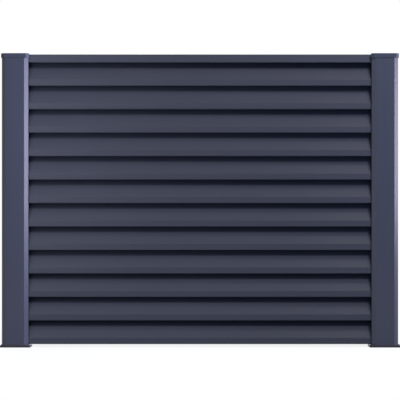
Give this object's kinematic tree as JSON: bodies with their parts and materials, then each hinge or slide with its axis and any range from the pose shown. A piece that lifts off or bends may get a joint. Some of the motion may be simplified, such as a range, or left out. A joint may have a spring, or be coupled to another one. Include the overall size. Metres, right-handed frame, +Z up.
{
  "type": "slatted fence panel",
  "caption": "Fence bay of sloping Z-section metal slats, held in guide channels between two chamfered posts with flat caps and bolt-down base plates, under a folded top rail.",
  "frame": {"origin": "centre of the underside of the left post's base plate, on the ground", "axes": "+X along the fence from the left post to the right post, +Y from the front to the back, +Z up"},
  "size_m": [1.518, 0.118, 1.1125],
  "materials": {
    "post_coat": "satin",
    "slat_coat": "satin",
    "cap_coat": "satin",
    "plate_coat": "satin",
    "channel_coat": "satin"
  },
  "bodies": {
    "root": {"left_post": "post_coat", "right_post": "post_coat", "left_cap": "cap_coat", "right_cap": "cap_coat", "left_base_plate": "plate_coat", "right_base_plate": "plate_coat", "left_guide_channel": "channel_coat", "right_guide_channel": "channel_coat", "top_rail": "slat_coat", "slat_01": "slat_coat", "slat_02": "slat_coat", "slat_03": "slat_coat", "slat_04": "slat_coat", "slat_05": "slat_coat", "slat_06": "slat_coat", "slat_07": "slat_coat", "slat_08": "slat_coat", "slat_09": "slat_coat", "slat_10": "slat_coat", "slat_11": "slat_coat", "slat_12": "slat_coat"}
  },
  "joints": []
}
